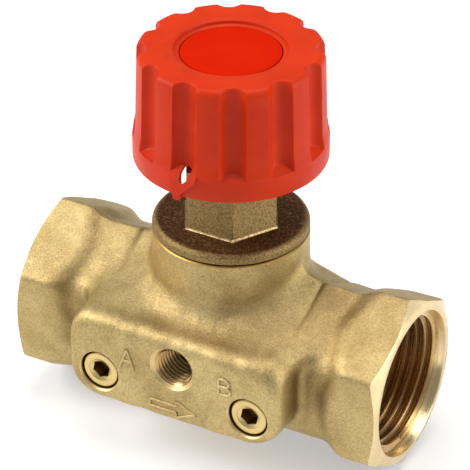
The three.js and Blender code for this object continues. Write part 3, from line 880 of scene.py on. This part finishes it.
def knob_shell():
    """The knob's moulding, in rows of points from the recess over the rim and the side to the hollow."""
    columns = FLUTES * FLUTE_COLUMNS
    turns = np.arange(columns) * 2 * math.pi / columns
    recess, inside = knob_profiles()
    rim = [KNOB["top"] - RIM_ROUND + RIM_ROUND * math.sin(a) for a in np.radians(np.linspace(88, 0, 9))]
    heights = rim + list(np.linspace(57.6, 45.6, 9)) + list(np.arange(45.2, SKIRT_TOP + 0.05, -0.14))
    grid = [[row] * columns for row in recess]
    grid += [[(r, z) for r in knob_side(turns, z)] for z in heights]
    grid += [[row] * columns for row in inside]
    points = [(r * math.sin(t), -r * math.cos(t), z) for row in grid for t, (r, z) in zip(turns, row)]
    around = [(i, (i + 1) % columns) for i in range(columns)]
    last = (len(grid) - 1) * columns
    faces = [
        (row + i, row + j, row + columns + j, row + columns + i)
        for row in range(0, last, columns)
        for i, j in around
    ]
    faces.append([i for i, _ in around])
    faces.append([last + i for i, _ in around])
    return mesh_object("knob_moulding", points, faces, RED, 40)


def pointer():
    """The pointer on the skirt. Its top slopes up to the floor of the flute behind it."""
    low = KNOB["low"]
    foot = [(-2.1, low + 1.0), (-1.5, low - 0.5), (-0.4, low - 0.5), (-0.1, low + 0.8), (2.6, low + 3.7)]
    front = foot + [(2.7, low + 4.2), (-2.4, low + 4.2)]
    back = foot + [(2.7, low + 5.6), (-2.4, low + 5.6)]
    return loft("pointer", [(16.0, back), (18.2, front)], RED, along="-Y")


def eye():
    """The hole of the sealing wire, which slopes down through the pointer into the knob's hollow."""
    outline = [
        (0.15, 44.75),
        (-0.2, 43.9),
        (-0.55, 42.8),
        (-0.62, 41.9),
        (-0.6, 40.8),
        (0.02, 40.62),
        (0.7, 41.3),
        (0.98, 42.1),
        (1.45, 43.3),
        (1.7, 44.2),
        (0.8, 44.8),
    ]
    left, down = EYE_SLOPE
    sections = []
    for out in (12.5, 20.0):
        inward = EYE_OUT - out
        sections.append((out, [(x - left * inward, z - down * inward) for x, z in outline]))
    return loft("eye", sections, RED, along="-Y")


def knob():
    """The moulding with its pointer and eye, and the ribbed hub on the spindle inside it."""
    shell = knob_shell()
    boolean(shell, pointer(), "UNION")
    boolean(shell, eye())
    bore, radius, low, top = HUB["bore"], HUB["radius"], HUB["low"], HUB["top"]
    hub = [(bore, low), (radius, low), (radius, top), (bore, top)]
    boolean(shell, lathe("hub", hub, RED, sides=64), "UNION")
    rib_outline = [(-14.0, -0.6), (14.0, -0.6), (14.0, 0.6), (-14.0, 0.6)]
    for k in range(3):
        rib = prism("rib", rib_outline, 50, top, RED)
        rib.data.transform(Matrix.Rotation(k * math.pi / 3, 4, "Z"))
        boolean(shell, rib, "UNION")
    boolean(shell, prism("drive", hexagon(3.2, math.pi / 6), 40, 53.3, RED))
    screw_hole = [(0, 50), (1.8, 50), (1.8, 54.6), (4.1, 54.6), (4.1, 57.4), (0, 57.4)]
    boolean(shell, lathe("screw_hole", screw_hole, RED, sides=48))
    shade(shell, 38)
    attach(shell, "handwheel")
    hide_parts("knob")


def knob_cap():
    """The pressed-in cap, very slightly dished."""
    edge, low, top = CAP["radius"], CAP["low"], CAP["top"]
    profile = [
        (0, low),
        (edge, low),
        (edge, top - 0.2),
        (edge - 0.06, top - 0.06),
        (edge - 0.2, top),
        (edge - 1.0, top - 0.02),
        (4.0, top - 0.09),
        (0, top - 0.1),
    ]
    cap = lathe("knob_cap_disc", profile, BRIGHT_RED, sides=160)
    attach(cap, "handwheel")
    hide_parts("knob_cap")


# ---- Screw plugs ----
def screw_plug(letter, side):
    """One screw plug, with the groove of its ring, a dished face and a hexagon socket."""
    face = -BOSS["face"] - PLUG["recess"]
    radius, socket = PLUG["radius"], PLUG["socket"]
    centre = (side * PLUG["x"], 0, PLUG["z"])
    profile = [
        (0, 15),
        (1.2, 15),
        (3.4, 16.4),
        (3.4, 17.6),
        (2.5, 17.6),
        (2.5, 19),
        (radius, 19),
        *arc((radius - 0.45, face - 0.45), 0.45, 0, 90, 5),
        (socket * 1.3, face),
        (0, face),
    ]
    brass = turned_brass("plug_brass_" + letter, "Y", centre, colour=(0.72, 0.55, 0.235), dull=0.30)
    plug = lathe("screw_plug_" + letter, profile, brass, sides=96, along="-Y", centre=centre)
    dimple = [
        (0, face - 0.5),
        (socket * 0.95, face - 0.5),
        (socket * 1.45, face - 0.08),
        (socket * 1.45 + 0.1, face + 0.2),
        (0, face + 0.2),
    ]
    boolean(plug, lathe("dimple", dimple, brass, sides=64, along="-Y", centre=centre))
    key = hexagon(socket, math.radians(20))
    boolean(plug, prism("key", key, face - 2.6, face + 1, brass, along="-Y", centre=centre))
    shade(plug, 30)
    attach(plug, "screw_" + letter)
    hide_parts("plug_" + letter)


# ---- Pieces that keep their CAD mesh ----
def finish_cad_nodes():
    """Gives every CAD mesh the material of its slot."""
    looks = {
        "turned_brass": SPINDLE_TURNED,
        "steel": STEEL,
        "rubber": RUBBER,
        "ptfe": PTFE,
        "forged_brass": FORGED,
        "dark_brass": DARK,
        "red_plastic": RED,
        "bright_red_plastic": BRIGHT_RED,
    }
    for part in frame["record"]["subparts"]:
        node = frame["nodes"][part["node"]]
        node.data.materials.clear()
        node.data.materials.append(looks[part["material_slot"]])


# ---- Stage ----
def backdrop():
    """A pale floor under the valve."""
    material, tree, shader = new_material("pale_floor")
    shader.inputs["Roughness"].default_value = 0.6
    shader.inputs["Emission Color"].default_value = (1.0, 1.0, 1.0, 1.0)
    shader.inputs["Emission Strength"].default_value = FLOOR_GLOW
    white = ramp(tree, noise(tree, 60.0, 2.0), [(0.3, 0.62), (0.7, 0.66)])
    tree.links.new(white, shader.inputs["Base Color"])
    height = -COLLAR_CORNER - 0.05
    outline = [(x * FLOOR_REACH, y * FLOOR_REACH) for x, y in ((-1, -1), (1, -1), (1, 1), (-1, 1))]
    prism("floor", outline, height - 5, height, material)


def studio_light(name, location, size, power, aim=(0, 0, 12)):
    """A rectangular area light turned to face aim."""
    data = bpy.data.lights.new(name, "AREA")
    data.shape = "RECTANGLE"
    data.size, data.size_y = (s * MM for s in size)
    data.energy = power
    light = bpy.data.objects.new(name, data)
    bpy.context.scene.collection.objects.link(light)
    place = Vector(location) * MM
    light.location = place
    light.rotation_euler = (Vector(aim) * MM - place).to_track_quat("-Z", "Y").to_euler()


def studio():
    """Even light from all round, and three area lights."""
    world = bpy.data.worlds.new("studio")
    bpy.context.scene.world = world
    world.use_nodes = True
    background = world.node_tree.nodes["Background"]
    background.inputs["Color"].default_value = (1, 1, 1, 1)
    background.inputs["Strength"].default_value = 0.3
    studio_light("key", (-440, -240, 400), (320, 320), 3.2)
    studio_light("top", (40, 80, 620), (420, 420), 2.2)
    studio_light("right", (500, 160, 180), (200, 380), 1.6)
    bpy.context.scene.view_settings.view_transform = "Standard"


def camera():
    """The camera of the main view."""
    turn, tilt = math.radians(AZIMUTH), math.radians(ELEVATION)
    back = Vector((math.sin(turn) * math.cos(tilt), -math.cos(turn) * math.cos(tilt), math.sin(tilt)))
    data = bpy.data.cameras.new("camera")
    data.lens = LENS
    data.sensor_width = SENSOR
    data.clip_start, data.clip_end = 0.05, 20
    view = bpy.data.objects.new("camera", data)
    bpy.context.scene.collection.objects.link(view)
    view.location = (Vector(TARGET) + back * DISTANCE) * MM
    view.rotation_euler = back.to_track_quat("Z", "Y").to_euler()
    bpy.context.scene.camera = view


finish_cad_nodes()
valve_body()
bonnet()
knob()
knob_cap()
for letter, side in (("a", -1), ("b", 1)):
    screw_plug(letter, side)
backdrop()
studio()
camera()
